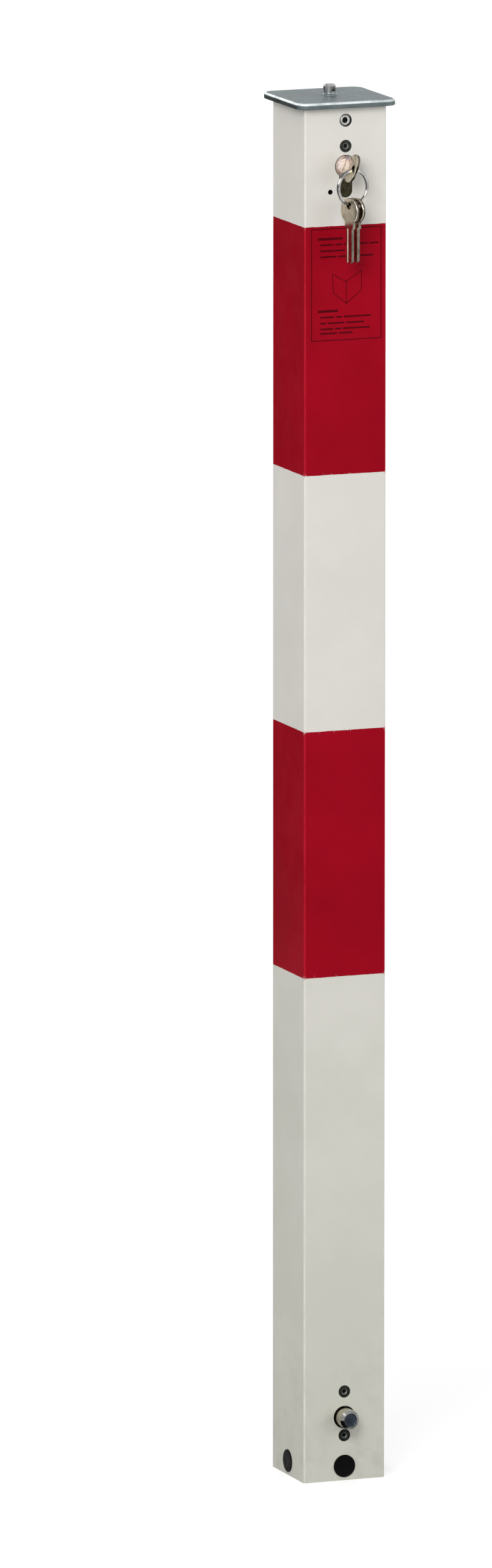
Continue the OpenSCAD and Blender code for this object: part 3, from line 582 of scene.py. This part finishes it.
def pressure_spring():
    """The bolt's spring with closed ends, in the place of the bolt_spring node, which it hides."""
    low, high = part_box("bolt_spring")
    y0, y1 = low[1] + WIRE_R, high[1] - WIRE_R
    pitch = (y1 - y0 - 2 * CLOSED_PITCH) / (COILS - 2)
    vertices, faces = [], []
    for i in range(COILS * STEPS_PER_COIL + 1):
        turn = i / STEPS_PER_COIL
        closed = min(turn, 1) + max(turn - COILS + 1, 0)
        y = y0 + CLOSED_PITCH * closed + pitch * min(max(turn - 1, 0), COILS - 2)
        angle = 2 * math.pi * turn
        for j in range(WIRE_SIDES):
            around = 2 * math.pi * j / WIRE_SIDES
            r = COIL_R + WIRE_R * math.cos(around)
            vertices.append((r * math.cos(angle), y + WIRE_R * math.sin(around),
                             BOLT_Z + r * math.sin(angle)))
    last = len(vertices) - WIRE_SIDES
    for a in range(0, last, WIRE_SIDES):
        for j in range(WIRE_SIDES):
            k = (j + 1) % WIRE_SIDES
            faces.append((a + j, a + k, a + WIRE_SIDES + k, a + WIRE_SIDES + j))
    faces += [tuple(range(WIRE_SIDES - 1, -1, -1)), tuple(range(last, last + WIRE_SIDES))]
    spring = mesh_piece("pressure_spring", vertices, faces, None, spring_wire)
    for polygon in spring.data.polygons:
        polygon.use_smooth = len(polygon.vertices) == 4
    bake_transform(spring)
    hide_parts("bolt_spring")


pressure_spring()


# Floor, flags, lamps, world and camera
FLOOR_REACH = 30  # half the floor's side
FLOOR_DARK, FLOOR_LIGHT = (0.52, 0.52, 0.51, 1), (0.56, 0.56, 0.55, 1)
SHADE = (0.4, 0.4, 0.4, 1)
GLOW_NEAR, GLOW_FAR, GLOW_REACH = 0.68, 0.83, 5.0
SOFT_SKY, SOFT_STRENGTH = (0.97, 0.98, 1, 1), 0.56

# Name and four corners of each black screen
FLAGS = {
    "flag_left": [(-2.2, 0.7, 0), (0.1, 1.6, 0), (0.1, 1.6, 1.5), (-2.2, 0.7, 1.5)],
    "flag_right": [(0.4, -3.3, 0), (2.0, -2.6, 0), (2.0, -2.6, 1.0), (0.4, -3.3, 1.0)],
    "flag_low": [(-0.25, -0.9, 0.003), (0.6, -0.9, 0.003),
                 (0.04, -0.045, 0.003), (-0.25, -0.045, 0.003)],
}

# Name, place, aim, size, power and colour of each lamp
LAMPS = (
    ("key", (-1.9, -2.6, 2.5), (0, 0, 0.75), (1.6, 1.6), 72, (1, 0.985, 0.96)),
    ("fill", (2.4, -2.2, 1.4), (0, 0, 0.6), (1.6, 1.8), 20, (0.97, 0.98, 1)),
    ("rim", (-1.2, 2.6, 2.3), (0, 0, 0.7), (1.2, 1.8), 20, (1, 1, 1)),
)

LENS = 400
CLIP_END = 200
AZIMUTH, ELEVATION = math.radians(-21.228), math.radians(10.115)
AIM = Vector((0, 0, 0.56))
DISTANCE, TO_THE_LEFT, RAISED = 13.956, 0.06645, 0.00329


def stage_mesh(name, corners, material):
    """A flat four-cornered thing of the studio, which is no part of the object."""
    mesh = bpy.data.meshes.new(name)
    mesh.from_pydata(corners, [], [(0, 1, 2, 3)])
    obj = bpy.data.objects.new(name, mesh)
    bpy.context.scene.collection.objects.link(obj)
    mesh.materials.append(material)
    return obj


def floor():
    """The camera and reflections see a glowing floor that takes the shadow, all else a pale one."""
    s = Shader("floor_white")
    s.tree.nodes.remove(s.bsdf)
    lit = s.node("ShaderNodeBsdfDiffuse")
    s.put(s.blend(s.noise(3, 4), FLOOR_DARK, FLOOR_LIGHT), lit.inputs["Color"])
    shade = s.node("ShaderNodeBsdfDiffuse")
    shade.inputs["Color"].default_value = SHADE
    glow = s.node("ShaderNodeEmission")
    away = s.node("ShaderNodeVectorMath", operation="LENGTH")
    s.put(s.where, away.inputs[0])
    strength = s.ramp(away.outputs["Value"], 0.0, GLOW_REACH, GLOW_NEAR, GLOW_FAR)
    s.put(strength, glow.inputs["Strength"])
    both = s.node("ShaderNodeAddShader")
    s.put(shade.outputs[0], both.inputs[0])
    s.put(glow.outputs[0], both.inputs[1])
    path = s.node("ShaderNodeLightPath")
    mirrored = s.math("MAXIMUM", path.outputs["Is Glossy Ray"], path.outputs["Is Transmission Ray"])
    choose = s.node("ShaderNodeMixShader")
    s.put(s.math("MAXIMUM", path.outputs["Is Camera Ray"], mirrored), choose.inputs[0])
    s.put(lit.outputs[0], choose.inputs[1])
    s.put(both.outputs[0], choose.inputs[2])
    s.put(choose.outputs[0], s.out.inputs[0])
    r = FLOOR_REACH
    stage_mesh("floor", [(-r, -r, 0), (r, -r, 0), (r, r, 0), (-r, r, 0)], s.material)


def flag(name, corners):
    """A black screen that only reflections show, so that bright metal mirrors something dark."""
    s = Shader("flag_black", Roughness=0.9, Specular_IOR_Level=0.0)
    s.set("Base Color", s.blend(s.noise(4, 2), srgb(26, 25, 24), srgb(40, 38, 36)))
    obj = stage_mesh(name, corners, s.material)
    obj.visible_camera = obj.visible_diffuse = obj.visible_shadow = False


def lamp(name, place, aim, size, power, colour):
    """A rectangular lamp that is turned towards a point."""
    light = bpy.data.lights.new(name, "AREA")
    light.shape = "RECTANGLE"
    light.size, light.size_y = size
    light.energy, light.color = power, colour
    obj = bpy.data.objects.new(name, light)
    obj.location = place
    obj.rotation_euler = (Vector(aim) - Vector(place)).to_track_quat("-Z", "Y").to_euler()
    bpy.context.scene.collection.objects.link(obj)


def world():
    """White where the camera or a reflection sees it, and a softer light on everything else."""
    w = bpy.data.worlds.new("studio")
    bpy.context.scene.world = w
    w.use_nodes = True
    tree = w.node_tree
    tree.nodes.clear()
    out = tree.nodes.new("ShaderNodeOutputWorld")
    path = tree.nodes.new("ShaderNodeLightPath")
    seen = path.outputs["Is Camera Ray"]
    for name in ("Is Glossy Ray", "Is Transmission Ray"):
        most = tree.nodes.new("ShaderNodeMath")
        most.operation = "MAXIMUM"
        tree.links.new(seen, most.inputs[0])
        tree.links.new(path.outputs[name], most.inputs[1])
        seen = most.outputs[0]
    mix = tree.nodes.new("ShaderNodeMixShader")
    tree.links.new(seen, mix.inputs[0])
    backgrounds = ((SOFT_SKY, SOFT_STRENGTH), ((1, 1, 1, 1), 1.0))
    for socket, (colour, strength) in zip(mix.inputs[1:], backgrounds):
        background = tree.nodes.new("ShaderNodeBackground")
        background.inputs["Color"].default_value = colour
        background.inputs["Strength"].default_value = strength
        tree.links.new(background.outputs[0], socket)
    tree.links.new(mix.outputs[0], out.inputs[0])


def camera():
    """A long lens without shift, at the photograph's angle."""
    data = bpy.data.cameras.new("camera")
    data.lens, data.clip_end = LENS, CLIP_END
    cam = bpy.data.objects.new("camera", data)
    level = math.cos(ELEVATION)
    back = Vector((math.sin(AZIMUTH) * level, -math.cos(AZIMUTH) * level, math.sin(ELEVATION)))
    right = Vector((math.cos(AZIMUTH), math.sin(AZIMUTH), 0))
    up = back.cross(right)
    cam.matrix_world = Matrix((right, up, back)).transposed().to_4x4()
    cam.location = AIM + back * DISTANCE - right * TO_THE_LEFT + up * RAISED
    bpy.context.scene.collection.objects.link(cam)
    bpy.context.scene.camera = cam


floor()
world()
for name, corners in FLAGS.items():
    flag(name, corners)
for settings in LAMPS:
    lamp(*settings)
camera()
bpy.context.scene.view_settings.view_transform = "Standard"
